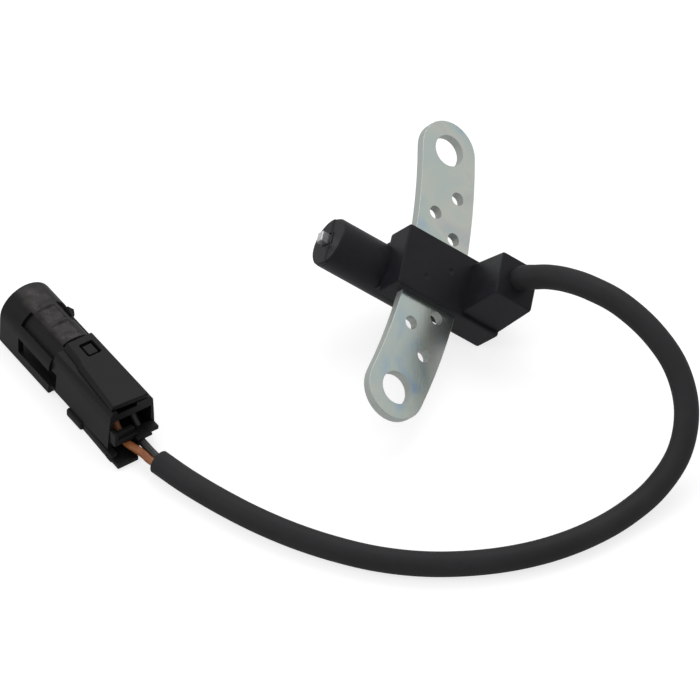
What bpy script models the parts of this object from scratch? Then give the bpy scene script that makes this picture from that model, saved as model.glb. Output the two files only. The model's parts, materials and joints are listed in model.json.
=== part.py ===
"""Crankshaft position sensor with its bracket, cable and two-way connector.

The sensor lies as it came to rest: the head leans on one corner of its moulded
block, the stiff cable arches down to the table, and the connector leans on its lock.
Units are metres and +Z is up. The origin is under the middle of the head, on
the surface that the part lies on.
"""
from math import asin, cos, hypot, pi, radians, sin

import bmesh
import bpy
from mathutils import Euler, Matrix, Vector

MM = 0.001
GAP = 0.3 * MM                      # clearance kept between pieces that touch

# Bracket plate, measured from the middle of its front face
HOLE_SPACING = 65.1 * MM            # between the two bolt holes
BAND_SAG = 3.7 * MM                 # bow of the plate's centre line between them
BAND_WIDTH = 15.2 * MM
PLATE_THICKNESS = 2.4 * MM
BOLT_HOLE = 7.9 * MM
GAUGE_HOLE = 3.3 * MM
GAUGE_HOLES = ((10.6, 2.9), (15.5, -2.9), (21.2, 2.9))   # along and across the band, in mm
EDGE_BREAK = 0.2 * MM               # rounding of the stamped edge

# Moulded block that wraps the plate
BLOCK_CENTRE = 0.3 * MM             # its middle, across the plate
BLOCK_WIDTH = 16.0 * MM
BLOCK_FRONT = 6.9 * MM              # face that the snout stands on
BLOCK_REAR = 22.3 * MM              # behind the plate's middle
FRONT_SKIN = 2.0 * MM               # plastic over the plate's front face
BACK_SKIN = 3.6 * MM                # plastic under its back face
BLOCK_ROUND = 0.5 * MM

# Tower that the cable leaves from
TOWER_HEIGHT = 14.4 * MM            # above the plate's front face
TOWER_CENTRE = 0.75 * MM
TOWER_WIDTH = 11.1 * MM             # across, at the top
TOWER_LENGTH = 10.5 * MM            # along the snout's line, at the top
TOWER_DRAFT = 1.2 * MM              # how much each side leans out to the foot
TOWER_BACK_DRAFT = 0.25 * MM        # the same for its front and rear
TOWER_SETBACK = 0.3 * MM            # from the block's rear
TOWER_ROUND = 0.5 * MM
SOCKET_CENTRE = (-0.45, 0.2)        # cable socket, off the tower's middle and the plate's, in mm

# Snout and the neck that carries it under the block
SNOUT_CENTRE = 0.2 * MM             # its axis, across the plate
SNOUT_DIAMETER = 12.2 * MM
SNOUT_LENGTH = 14.0 * MM
SNOUT_WALL = 1.15 * MM
TIP_WALL = 1.2 * MM                 # plastic in front of the coil
TIP_STEP = 0.5 * MM                 # raised half of the end face
TIP_STEP_EDGE = 0.7 * MM            # its straight edge, off the axis
TIP_RIB = 0.6 * MM                  # rib beside the pole piece
NECK_LENGTH = 17.6 * MM
NECK_SETBACK = 0.6 * MM             # of the web that joins the neck to the block
SNOUT_ROUND = 0.4 * MM

# Coil, core and magnet in the snout
POLE_WIDTH = 2.6 * MM
POLE_THICKNESS = 2.1 * MM
POLE_ASIDE = -0.5 * MM              # its middle, off the snout's axis, across the plate
POLE_DOWN = 0.35 * MM               # the same, away from the plate
POLE_LENGTH = 17.2 * MM
POLE_PROUD = 1.4 * MM               # how far it stands out of the tip
POLE_TAIL = 1.3 * MM                # what shows of it behind the spool
BOBBIN_WALL = 0.8 * MM
FLANGE = 1.2 * MM                   # thickness of the spool's two flanges
WINDING_THICKNESS = 0.75 * MM
MAGNET_LENGTH = 4.6 * MM
MAGNET_DIAMETER = 7.8 * MM

# Cable
CABLE_DIAMETER = 5.7 * MM
SOCKET_DEPTH = 4.0 * MM             # how far the sheath sits in the tower
CORE_DIAMETER = 1.9 * MM
CORE_PITCH = 2.3 * MM
CORE_BEND = 2.0 * MM                # radius of their turn inside the block
DUCT_WALL = 0.4 * MM                # plastic between the plate and the passage
DUCT_WIDTH = 4.8 * MM               # passage for the cores through the block
DUCT_HEIGHT = 2.5 * MM
LUG_THICKNESS = 0.6 * MM            # coil terminals
LUG_WIDTH = 1.1 * MM
LUG_FOOT = 1.0 * MM                 # length of the foot
LUG_DROP = 1.1 * MM                 # how far the foot lies under the core

# Connector, measured forward from the tail of its lock
CONNECTOR_LENGTH = 48.8 * MM
SHROUD_DIAMETER = 14.0 * MM         # round top, and the width between the flat sides
SHROUD_WALL = 1.4 * MM
SHROUD_CORNER = 1.0 * MM            # rounding along its flat floor
SHROUD_LENGTH = 20.6 * MM
CAVITY_DEPTH = 20.0 * MM
SOCKET_FLOOR = 1.6 * MM             # thickness of the shroud's flat floor
WINDOW_REAR = 26.0 * MM             # slot low in each side of the shroud
WINDOW_LENGTH = 15.0 * MM
WINDOW_SILL = 2.5 * MM
WINDOW_HEIGHT = 4.5 * MM
SHOULDER_REAR = 27.4 * MM           # sunk strip along each shoulder
SHOULDER_LENGTH = 13.8 * MM
SHOULDER_DEPTH = 0.9 * MM
NEAR_SHOULDER = (29.0, 62.0)        # its edges, in degrees round the shroud's axis
FAR_SHOULDER = (118.0, 172.0)
SPINE_WIDTH = 4.6 * MM              # band along the top with two shallow pockets
POCKET_REARS = (29.3, 35.2)         # in mm
POCKET_LENGTH = 5.2 * MM
POCKET_DEPTH = 0.55 * MM
SHOULDER_LUG = ((-3.6, 11.2), (-4.5, 10.3), (-5.25, 11.1), (-4.5, 12.2))   # section, in mm
SHOULDER_LUG_REAR = 36.0 * MM
SHOULDER_LUG_LENGTH = 3.5 * MM

# Rear body of the connector: half its section, as (across, up) in mm, and its parts
REAR_SECTION = ((6.6, 1.9), (6.25, 7.5), (5.95, 11.5), (5.2, 12.55))
FAR_INSET = 0.35 * MM               # its far side is this much slimmer
BODY_REAR = 4.4 * MM                # the housing's rear end
END_RECESS = 10.2 * MM              # how far forward its open end reaches
END_FLOOR = 2.9 * MM
END_ROOF = 9.6 * MM
END_HALF = 5.1 * MM
LIP_DROP = 1.0 * MM                 # lip at the rear, under the cover's edge
LIP_THICKNESS = 0.4 * MM
LIP_POCKET = 2.1 * MM               # depth of the pocket in front of the lip
TRAY_REAR = 1.0 * MM                # shelf behind the far half of the end
TRAY_TOP = 4.6 * MM
TRAY_INSET = 2.4 * MM              # from the far face
TAB_WIDTH = 3.0 * MM
CORE_NOTCH = (1.2, 3.7)             # ways out for the cores, across, in mm
CORE_NOTCH_TOP = 4.0 * MM
BRIDGE_REAR = 2.2 * MM              # bar over the brown core
BRIDGE_WIDTH = 1.0 * MM
BRIDGE_THICKNESS = 1.4 * MM
WEB_TOP = 7.0 * MM                  # web between the bar and the housing
ARM_TOP = 7.6 * MM
COVER_OUTLINE = ((4.4, -4.1), (27.7, -4.1), (27.7, 2.5), (21.5, 3.0), (19.9, 3.5), (5.1, 4.9))   # in mm
COVER_THICKNESS = 1.15 * MM
SNAP_REAR = 21.9 * MM               # snap lug that holds the cover
SNAP_LENGTH = 3.2 * MM
SNAP_SIDES = (-2.4, 0.05)           # across, in mm
SNAP_CLEARANCE = 0.5 * MM
LOCK_LENGTH = 20.6 * MM
LOCK_HEIGHT = 2.35 * MM
LOCK_RAIL = (5.2, 6.6)              # its two sides, across, in mm
NOSE_LENGTH = 2.8 * MM              # thicker end of the rail
NOSE_STEP = 0.7 * MM
TAIL_REAR = -0.4 * MM
TAIL_SIDE = 1.3 * MM
TAIL_THICKNESS = 1.0 * MM
TAIL_RIM = 0.9 * MM
TERMINAL_PITCH = 4.8 * MM
PIN_DIAMETER = 1.5 * MM
PIN_TIP = 42.0 * MM
BARREL_DIAMETER = 3.2 * MM
BARREL_FRONT = 23.5 * MM
SEAL_BORE = 4.3 * MM
SEAL_LENGTH = 5.4 * MM
TERMINAL_LEVEL = 7.0 * MM           # height of the pins over the shroud's floor

# Lie of the head and the connector on the table
HEAD_TURN = Euler((radians(-15.2), radians(-37.3), radians(177.9)))
CONNECTOR_PLACE = Vector((-64.36, -41.15, 0.43)) * MM
CONNECTOR_ROLL = radians(4.0)       # it leans away from its lock's rail
CONNECTOR_TURN = radians(126.0)

# The cable's centre line, from the tower to the end of its sheath, in mm
CABLE_ROUTE = (
    (21.49, -5.13, 20.143), (24.9, -7.0, 23.1), (27.9, -8.7, 24.9), (32.0, -11.2, 26.5),
    (37.0, -14.4, 27.3), (43.6, -18.9, 26.8), (50.6, -25.1, 24.1), (55.9, -31.9, 19.7),
    (58.1, -39.6, 14.2), (56.4, -47.5, 8.8), (51.1, -54.6, 4.8), (43.9, -60.9, 3.0),
    (36.0, -66.5, 2.9), (27.2, -70.8, 2.9), (17.9, -73.6, 2.9), (8.2, -75.0, 2.9),
    (-1.5, -75.1, 2.9), (-11.2, -73.7, 2.9), (-20.5, -70.9, 2.9), (-29.5, -67.1, 2.9),
    (-38.1, -62.4, 2.9), (-46.2, -57.0, 2.9), (-53.9, -51.1, 2.9), (-60.4, -45.3, 2.9),
)

for old in list(bpy.data.objects):
    bpy.data.objects.remove(old)


# Modelling aids

def paint(name, colour, roughness, metallic=0.0):
    """A Principled material with one colour."""
    material = bpy.data.materials.new(name)
    material.use_nodes = True
    shader = material.node_tree.nodes["Principled BSDF"]
    shader.inputs["Base Color"].default_value = (*colour, 1.0)
    shader.inputs["Roughness"].default_value = roughness
    shader.inputs["Metallic"].default_value = metallic
    return material


def frame(name, place, turn):
    """An empty that carries the pieces of one part of the object."""
    empty = bpy.data.objects.new(name, None)
    empty.location = place
    empty.rotation_euler = turn
    bpy.context.collection.objects.link(empty)
    return empty


def piece(name, form, parent, material=None):
    """Turn a bmesh into an object under its frame."""
    bmesh.ops.remove_doubles(form, verts=form.verts, dist=1e-7)
    bmesh.ops.recalc_face_normals(form, faces=form.faces)
    mesh = bpy.data.meshes.new(name)
    form.to_mesh(mesh)
    form.free()
    made = bpy.data.objects.new(name, mesh)
    made.parent = parent
    bpy.context.collection.objects.link(made)
    if material:
        mesh.materials.append(material)
    return made


def tool(name, form, parent):
    """A shape that only cuts or adds to another."""
    made = piece(name, form, parent)
    made.hide_render = True
    made.display_type = 'WIRE'
    return made


def combine(target, other, operation):
    """Cut another shape out of the target, or join it on."""
    change = target.modifiers.new(f"{operation} {other.name}", 'BOOLEAN')
    change.operation = operation
    change.solver = 'EXACT'
    change.object = other


def round_shading(made, angle=35.0):
    """Smooth shading on the round stretches only."""
    made.data.shade_smooth()
    made.data.set_sharp_from_angle(angle=radians(angle))


def extruded(outline, axis, low, high):
    """A closed prism: the outline swept along one axis."""
    order = {'X': (2, 0, 1), 'Y': (0, 2, 1), 'Z': (0, 1, 2)}[axis]
    form = bmesh.new()
    rings = []
    for level in (low, high):
        ring = []
        for first, second in outline:
            values = (first, second, level)
            ring.append(form.verts.new([values[i] for i in order]))
        rings.append(ring)
    form.faces.new(rings[0])
    form.faces.new(rings[1])
    count = len(outline)
    for i in range(count):
        after = (i + 1) % count
        form.faces.new((rings[0][i], rings[0][after], rings[1][after], rings[1][i]))
    return form


def block(low, high, rounding=0.0, segments=1):
    """A box between two corners, with its edges rounded if asked."""
    form = extruded(((low[0], low[1]), (high[0], low[1]), (high[0], high[1]), (low[0], high[1])),
                    'Z', low[2], high[2])
    if rounding:
        bmesh.ops.bevel(form, geom=form.edges[:], offset=rounding, segments=segments,
                        profile=0.5, affect='EDGES')
    return form


def turned(profile, centre_y, centre_z, sides):
    """A solid turned about a line along X. The profile lists (x, radius)."""
    form = bmesh.new()
    rings = []
    for x, radius in profile:
        if radius == 0.0:
            rings.append([form.verts.new((x, centre_y, centre_z))])
            continue
        ring = []
        for i in range(sides):
            angle = 2 * pi * (i + 0.5) / sides
            ring.append(form.verts.new((x, centre_y + radius * cos(angle),
                                        centre_z + radius * sin(angle))))
        rings.append(ring)
    closed = profile[0][1] > 0.0
    pairs = list(zip(rings, rings[1:]))
    if closed:
        pairs.append((rings[-1], rings[0]))
    for first, second in pairs:
        for i in range(sides):
            after = (i + 1) % sides
            if len(first) == 1:
                form.faces.new((first[0], second[i], second[after]))
            elif len(second) == 1:
                form.faces.new((first[i], first[after], second[0]))
            else:
                form.faces.new((first[i], first[after], second[after], second[i]))
    return form


def rod(low, high, radius, centre_y, centre_z, sides, rounding=0.0):
    """A round bar along X, with its rims rounded if asked."""
    profile = [(low, 0.0), (low, radius - rounding), (low + rounding, radius),
               (high - rounding, radius), (high, radius - rounding), (high, 0.0)]
    if not rounding:
        profile = [(low, 0.0), (low, radius), (high, radius), (high, 0.0)]
    return turned(profile, centre_y, centre_z, sides)


def arc(centre, radius, start, end, steps):
    """Points along an arc, both ends included, angles in radians."""
    points = []
    for i in range(steps + 1):
        angle = start + (end - start) * i / steps
        points.append((centre[0] + radius * cos(angle), centre[1] + radius * sin(angle)))
    return points


def smooth_path(points, spacing):
    """Points a set distance apart on a smooth curve through the given ones."""
    ends = [points[0] * 2 - points[1]] + list(points) + [points[-1] * 2 - points[-2]]
    dense = []
    for before, here, after, beyond in zip(ends, ends[1:], ends[2:], ends[3:]):
        for i in range(24):
            t = i / 24
            dense.append(0.5 * (2 * here + (after - before) * t
                                + (2 * before - 5 * here + 4 * after - beyond) * t ** 2
                                + (3 * here - before - 3 * after + beyond) * t ** 3))
    dense.append(points[-1])
    length = sum((b - a).length for a, b in zip(dense, dense[1:]))
    step = length / max(1, round(length / spacing))
    picked = [dense[0]]
    travelled = 0.0
    for a, b in zip(dense, dense[1:]):
        travelled += (b - a).length
        if travelled >= step * len(picked) - 1e-9:
            picked.append(b)
    return picked


def tube(name, points, diameter, material, parent=None, sides=8):
    """A round cable along a list of points."""
    curve = bpy.data.curves.new(name, 'CURVE')
    curve.dimensions = '3D'
    curve.bevel_depth = diameter / 2
    curve.bevel_resolution = sides // 2 - 2
    curve.use_fill_caps = True
    spline = curve.splines.new('POLY')
    spline.points.add(len(points) - 1)
    for point, place in zip(spline.points, points):
        point.co = (*place, 1.0)
    curve.materials.append(material)
    made = bpy.data.objects.new(name, curve)
    made.parent = parent
    bpy.context.collection.objects.link(made)
    return made


black_plastic = paint("black moulded plastic", (0.012, 0.012, 0.014), 0.45)
zinc_steel = paint("zinc plated steel", (0.62, 0.66, 0.66), 0.32, 1.0)
pole_steel = paint("bare steel", (0.50, 0.50, 0.49), 0.35, 1.0)
magnet_grey = paint("sintered magnet", (0.10, 0.10, 0.11), 0.5, 0.6)
bobbin_plastic = paint("coil former plastic", (0.016, 0.016, 0.018), 0.5)
copper = paint("enamelled copper wire", (0.42, 0.13, 0.04), 0.35, 1.0)
tinned_brass = paint("tinned brass", (0.60, 0.55, 0.42), 0.3, 1.0)
sheath_rubber = paint("cable sheath", (0.022, 0.022, 0.025), 0.6)
brown_insulation = paint("brown insulation", (0.33, 0.11, 0.035), 0.45)
black_insulation = paint("black insulation", (0.015, 0.015, 0.016), 0.45)
seal_rubber = paint("seal rubber", (0.035, 0.035, 0.038), 0.7)

# Lines that several head pieces share, in the head's own frame:
# X runs out of the snout, Y along the plate, and Z out of its front face.
tower_rear = -BLOCK_REAR + TOWER_SETBACK
socket_at = Vector((tower_rear + TOWER_LENGTH / 2 + SOCKET_CENTRE[0] * MM,
                    SOCKET_CENTRE[1] * MM, TOWER_HEIGHT))
snout_tip = BLOCK_FRONT + SNOUT_LENGTH
block_back = -PLATE_THICKNESS - BACK_SKIN
duct_level = -PLATE_THICKNESS - GAP - DUCT_WALL - DUCT_HEIGHT / 2
snout_axis = duct_level - CORE_DIAMETER / 2 - GAP - MAGNET_DIAMETER / 2
cavity_radius = SNOUT_DIAMETER / 2 - SNOUT_WALL
cavity_front = snout_tip - TIP_STEP - TIP_WALL
pole_rear = snout_tip + POLE_PROUD - POLE_LENGTH
pole_across = SNOUT_CENTRE + POLE_ASIDE
pole_up = snout_axis - POLE_DOWN
magnet_rear = pole_rear - GAP - MAGNET_LENGTH
cavity_rear = magnet_rear - GAP
bobbin_rear = pole_rear + POLE_TAIL
bobbin_front = cavity_front - GAP
flange_radius = cavity_radius - GAP
hub_radius = BOBBIN_WALL + hypot(POLE_WIDTH / 2 + GAP + abs(POLE_ASIDE),
                                 POLE_THICKNESS / 2 + GAP + POLE_DOWN)

head_rotation = HEAD_TURN.to_matrix()
head_place = Vector(CABLE_ROUTE[0]) * MM - head_rotation @ socket_at
head = frame("head", head_place, HEAD_TURN)


# Bracket plate: a bowed band with round ends, stamped and zinc plated

half_spacing = HOLE_SPACING / 2
band_radius = (half_spacing ** 2 + BAND_SAG ** 2) / (2 * BAND_SAG)
band_centre = (band_radius - BAND_SAG, 0.0)
band_angle = asin(half_spacing / band_radius)


def on_band(along, across):
    """A point on the plate: along its bowed centre line and outwards from it."""
    angle = along / band_radius
    radius = band_radius + across
    return (band_centre[0] - radius * cos(angle), radius * sin(angle))


def band_outline():
    """Outer edge, far end, inner edge and near end of the band."""
    half = BAND_WIDTH / 2
    reach = band_angle * band_radius
    outer = [on_band(reach * (2 * i / 14 - 1), half) for i in range(15)]
    inner = [on_band(-reach * (2 * i / 14 - 1), -half) for i in range(15)]
    turn = pi - band_angle
    far_end = arc((0.0, half_spacing), half, turn, turn - pi, 18)[1:-1]
    near_end = arc((0.0, -half_spacing), half, band_angle, band_angle - pi, 18)[1:-1]
    return outer + far_end + inner + near_end


def build_plate():
    """The plate with its two bolt holes and six small gauge holes."""
    plate = piece("bracket_plate", extruded(band_outline(), 'Z', -PLATE_THICKNESS, 0.0),
                  head, zinc_steel)
    edge = plate.modifiers.new("Edge break", 'BEVEL')
    edge.width = EDGE_BREAK
    edge.segments = 1
    edge.limit_method = 'ANGLE'
    edge.angle_limit = radians(60)
    holes = [((0.0, side * half_spacing), BOLT_HOLE, 28) for side in (-1, 1)]
    for along, across in GAUGE_HOLES:
        for side in (-1, 1):
            holes.append((on_band(side * along * MM, across * MM), GAUGE_HOLE, 16))
    for number, (centre, diameter, sides) in enumerate(holes):
        outline = arc(centre, diameter / 2, 0.0, 2 * pi, sides)[:-1]
        drill = tool(f"plate_drill_{number}",
                     extruded(outline, 'Z', -PLATE_THICKNESS - MM, MM), head)
        combine(plate, drill, 'DIFFERENCE')
    round_shading(plate, 30)
    return plate


build_plate()


# Sensor body: block, tower, snout and neck moulded round the plate in one shot

def tapered(low, high, draft, bottom, top, rounding):
    """A block whose four sides lean out towards its foot."""
    form = extruded(((low[0], low[1]), (high[0], low[1]), (high[0], high[1]), (low[0], high[1])),
                    'Z', bottom, top)
    middle = ((low[0] + high[0]) / 2, (low[1] + high[1]) / 2)
    for vert in form.verts:
        if vert.co.z < (bottom + top) / 2:
            vert.co.x += draft[0] if vert.co.x > middle[0] else -draft[0]
            vert.co.y += draft[1] if vert.co.y > middle[1] else -draft[1]
    edges = [e for e in form.edges if max(v.co.z for v in e.verts) > (bottom + top) / 2]
    bmesh.ops.bevel(form, geom=edges, offset=rounding, segments=2, profile=0.5, affect='EDGES')
    return form


def pole_slot(low, high):
    """The way for the pole piece, a little wider than the bar itself."""
    return block((low, pole_across - POLE_WIDTH / 2 - GAP, pole_up - POLE_THICKNESS / 2 - GAP),
                 (high, pole_across + POLE_WIDTH / 2 + GAP, pole_up + POLE_THICKNESS / 2 + GAP))


def build_body():
    """Block first, the other masses joined on, then every space cut out."""
    half = BLOCK_WIDTH / 2
    body = piece("sensor_body", block((-BLOCK_REAR, BLOCK_CENTRE - half, block_back),
                                      (BLOCK_FRONT, BLOCK_CENTRE + half, FRONT_SKIN),
                                      BLOCK_ROUND, 2), head, black_plastic)
    tower = tapered((tower_rear, TOWER_CENTRE - TOWER_WIDTH / 2),
                    (tower_rear + TOWER_LENGTH, TOWER_CENTRE + TOWER_WIDTH / 2),
                    (TOWER_BACK_DRAFT, TOWER_DRAFT), 0.0, TOWER_HEIGHT, TOWER_ROUND)
    combine(body, tool("tower_form", tower, head), 'UNION')
    neck_rear = BLOCK_FRONT - NECK_LENGTH
    radius = SNOUT_DIAMETER / 2
    snout = rod(neck_rear, snout_tip - TIP_STEP, radius, SNOUT_CENTRE, snout_axis, 40, SNOUT_ROUND)
    combine(body, tool("snout_form", snout, head), 'UNION')
    web_half = radius - GAP / 4
    web = block((neck_rear + NECK_SETBACK, SNOUT_CENTRE - web_half, snout_axis),
                (BLOCK_FRONT - GAP, SNOUT_CENTRE + web_half, block_back + MM))
    combine(body, tool("neck_form", web, head), 'UNION')

    lean = asin(TIP_STEP_EDGE / radius)
    raised = extruded(arc((SNOUT_CENTRE, snout_axis), radius - GAP / 3, pi - lean, 2 * pi + lean, 18),
                      'X', snout_tip - MM, snout_tip)
    rim = [e for e in raised.edges if min(v.co.x for v in e.verts) > snout_tip - GAP]
    bmesh.ops.bevel(raised, geom=rim, offset=GAP, segments=1, profile=0.5, affect='EDGES')
    combine(body, tool("tip_step", raised, head), 'UNION')
    rib_foot = pole_up + POLE_THICKNESS / 2 + GAP
    rib = block((snout_tip - MM, pole_across - POLE_WIDTH / 2 - GAP, rib_foot),
                (snout_tip + POLE_PROUD - GAP / 2, pole_across + POLE_WIDTH / 2 + GAP,
                 rib_foot + TIP_RIB), TIP_RIB / 4)
    combine(body, tool("tip_rib", rib, head), 'UNION')
    way = pole_slot(cavity_front - MM, snout_tip + POLE_PROUD + MM)
    combine(body, tool("tip_slot", way, head), 'DIFFERENCE')

    plate_inner = on_band(0.0, -BAND_WIDTH / 2)[0]
    plate_outer = on_band(0.0, BAND_WIDTH / 2)[0]
    bow = on_band(half, 0.0)[0] - on_band(0.0, 0.0)[0]
    slot = block((plate_outer - GAP, BLOCK_CENTRE - half - MM, -PLATE_THICKNESS - GAP),
                 (plate_inner + bow + GAP, BLOCK_CENTRE + half + MM, GAP))
    combine(body, tool("plate_slot", slot, head), 'DIFFERENCE')
    coil_space = rod(cavity_rear, cavity_front, cavity_radius, SNOUT_CENTRE, snout_axis, 36)
    combine(body, tool("coil_space", coil_space, head), 'DIFFERENCE')
    duct = block((socket_at.x - DUCT_WIDTH / 2, socket_at.y - DUCT_WIDTH / 2,
                  duct_level - DUCT_HEIGHT / 2),
                 (bobbin_rear, socket_at.y + DUCT_WIDTH / 2, duct_level + DUCT_HEIGHT / 2))
    combine(body, tool("core_duct", duct, head), 'DIFFERENCE')
    shaft_half = DUCT_WIDTH / 2 + GAP / 6
    shaft = block((socket_at.x - DUCT_WIDTH / 2, socket_at.y - shaft_half, duct_level),
                  (socket_at.x + DUCT_WIDTH / 2, socket_at.y + shaft_half,
                   TOWER_HEIGHT - SOCKET_DEPTH + MM / 2))
    combine(body, tool("core_shaft", shaft, head), 'DIFFERENCE')
    mouth = arc(socket_at.xy, CABLE_DIAMETER / 2 + GAP, 0.0, 2 * pi, 28)[:-1]
    socket = extruded(mouth, 'Z', TOWER_HEIGHT - SOCKET_DEPTH, TOWER_HEIGHT + MM)
    combine(body, tool("cable_socket", socket, head), 'DIFFERENCE')
    round_shading(body, 30)
    return body


build_body()


# Pole piece and magnet: they carry the field to the toothed wheel

def build_pole():
    """A flat steel bar through the coil, its end standing out of the tip."""
    low = (pole_rear, pole_across - POLE_WIDTH / 2, pole_up - POLE_THICKNESS / 2)
    high = (snout_tip + POLE_PROUD, pole_across + POLE_WIDTH / 2, pole_up + POLE_THICKNESS / 2)
    return piece("pole_piece", block(low, high, GAP / 2), head, pole_steel)


build_pole()
magnet = piece("magnet", rod(magnet_rear, magnet_rear + MAGNET_LENGTH, MAGNET_DIAMETER / 2,
                             SNOUT_CENTRE, snout_axis, 28, GAP), head, magnet_grey)
round_shading(magnet)


# Coil: a spool with two flanges, its winding, and the lugs the cores are joined to

def build_bobbin():
    """The spool, with the way for the pole piece through its hub."""
    rear_face = bobbin_rear + FLANGE
    front_face = bobbin_front - FLANGE
    profile = [(bobbin_rear, 0.0), (bobbin_rear, flange_radius), (rear_face, flange_radius),
               (rear_face, hub_radius), (front_face, hub_radius), (front_face, flange_radius),
               (bobbin_front, flange_radius), (bobbin_front, 0.0)]
    bobbin = piece("coil_bobbin", turned(profile, SNOUT_CENTRE, snout_axis, 32),
                   head, bobbin_plastic)
    way = pole_slot(bobbin_rear - MM, bobbin_front + MM)
    combine(bobbin, tool("spool_slot", way, head), 'DIFFERENCE')
    round_shading(bobbin)
    return bobbin


def build_winding():
    """The wound copper, as one ring round the spool."""
    inner = hub_radius + GAP
    outer = min(inner + WINDING_THICKNESS, flange_radius - GAP / 3)
    low = bobbin_rear + FLANGE + GAP
    high = bobbin_front - FLANGE - GAP
    profile = [(low, inner), (low, outer), (high, outer), (high, inner)]
    winding = piece("coil_winding", turned(profile, SNOUT_CENTRE, snout_axis, 32), head, copper)
    round_shading(winding)
    return winding


def build_lug(name, centre_y):
    """An L of strip: its foot by the rear flange, its leg up to the core's end."""
    front = bobbin_rear - GAP
    rear = front - LUG_FOOT
    foot = duct_level - CORE_DIAMETER / 2 - LUG_DROP
    top = duct_level + CORE_DIAMETER / 2 - GAP / 3
    outline = ((rear, foot), (front, foot), (front, foot + LUG_THICKNESS),
               (rear + LUG_THICKNESS, foot + LUG_THICKNESS), (rear + LUG_THICKNESS, top),
               (rear, top))
    return piece(name, extruded(outline, 'Y', centre_y - LUG_WIDTH / 2, centre_y + LUG_WIDTH / 2),
                 head, tinned_brass)


build_bobbin()
build_winding()
core_lines = [socket_at.y + side * CORE_PITCH / 2 for side in (-1, 1)]
for number, line in enumerate(core_lines, 1):
    build_lug(f"coil_lug_{number}", line)


# Cores inside the head: down the tower, then forward behind the plate to the lugs

def head_core_points(line):
    """One core's path: down, round a bend, and along the duct."""
    bend = CORE_BEND
    top = TOWER_HEIGHT - SOCKET_DEPTH
    points = [Vector((socket_at.x, line, top)), Vector((socket_at.x, line, top / 2))]
    for i in range(5):
        angle = pi + (pi / 2) * i / 4
        points.append(Vector((socket_at.x + bend + bend * cos(angle), line,
                              duct_level + bend + bend * sin(angle))))
    points.append(Vector((bobbin_rear - GAP - LUG_FOOT - GAP, line, duct_level)))
    return points


for colour, insulation, line in (("brown", brown_insulation, core_lines[0]),
                                 ("black", black_insulation, core_lines[1])):
    tube(f"head_core_{colour}", head_core_points(line), CORE_DIAMETER, insulation, head)


# Cable sheath: straight out of its socket, over in an arch and along the table

out = head_rotation @ Vector((0.0, 0.0, 1.0))
route = [Vector(point) * MM for point in CABLE_ROUTE]
route.insert(1, route[0] + out * CABLE_DIAMETER / 3)
sheath_points = [route[0] - out * (SOCKET_DEPTH - GAP)] + smooth_path(route, 2.0 * CABLE_DIAMETER)
tube("cable_sheath", sheath_points, CABLE_DIAMETER, sheath_rubber, sides=12)


# Connector: moulded housing with a round-topped shroud

connector = frame("connector", CONNECTOR_PLACE, Euler((CONNECTOR_ROLL, 0.0, CONNECTOR_TURN)))
shroud_half = SHROUD_DIAMETER / 2
cavity_half = shroud_half - SHROUD_WALL
shroud_rear = CONNECTOR_LENGTH - SHROUD_LENGTH
wall_between = CONNECTOR_LENGTH - CAVITY_DEPTH
body_floor = REAR_SECTION[0][1] * MM
body_top = REAR_SECTION[-1][1] * MM
terminal_lines = [side * TERMINAL_PITCH / 2 for side in (1, -1)]
seal_rear = END_RECESS + GAP
barrel_rear = seal_rear + SEAL_LENGTH + 2 * GAP
bore_front = BARREL_FRONT + GAP


def arch_outline(half, floor, corner):
    """A flat floor with round corners, upright sides and a round top, as (across, up)."""
    return (arc((0.0, shroud_half), half, 0.0, pi, 18)
            + arc((corner - half, floor + corner), corner, pi, 1.5 * pi, 3)
            + arc((half - corner, floor + corner), corner, 1.5 * pi, 2 * pi, 3))


def ring_stretch(inner, outer, edges, low, high):
    """A stretch of a thick ring round the shroud's axis, its edges in degrees."""
    middle = (0.0, shroud_half)
    start, end = radians(edges[0]), radians(edges[1])
    outline = arc(middle, outer, start, end, 6) + arc(middle, inner, end, start, 6)
    return extruded(outline, 'X', low, high)


def build_shroud_details(housing):
    """Side slots, sunk shoulders, top pockets and the lug on the far shoulder."""
    sunk = shroud_half - SHOULDER_DEPTH
    for side, name, edges in ((1, "near", NEAR_SHOULDER), (-1, "far", FAR_SHOULDER)):
        window = block((WINDOW_REAR, side * (cavity_half - MM), WINDOW_SILL),
                       (WINDOW_REAR + WINDOW_LENGTH, side * (shroud_half + MM),
                        WINDOW_SILL + WINDOW_HEIGHT))
        combine(housing, tool(f"{name}_side_window", window, connector), 'DIFFERENCE')
        shoulder = ring_stretch(sunk, shroud_half + MM, edges, SHOULDER_REAR,
                                SHOULDER_REAR + SHOULDER_LENGTH)
        combine(housing, tool(f"{name}_shoulder", shoulder, connector), 'DIFFERENCE')
    for rear in POCKET_REARS:
        pocket = block((rear * MM, -SPINE_WIDTH / 2, SHROUD_DIAMETER - POCKET_DEPTH),
                       (rear * MM + POCKET_LENGTH, SPINE_WIDTH / 2, SHROUD_DIAMETER + MM))
        combine(housing, tool(f"spine_pocket_{rear:.0f}", pocket, connector), 'DIFFERENCE')
    section = [(across * MM, up * MM) for across, up in SHOULDER_LUG]
    lug = extruded(section, 'X', SHOULDER_LUG_REAR, SHOULDER_LUG_REAR + SHOULDER_LUG_LENGTH)
    combine(housing, tool("shoulder_lug", lug, connector), 'UNION')


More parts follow.
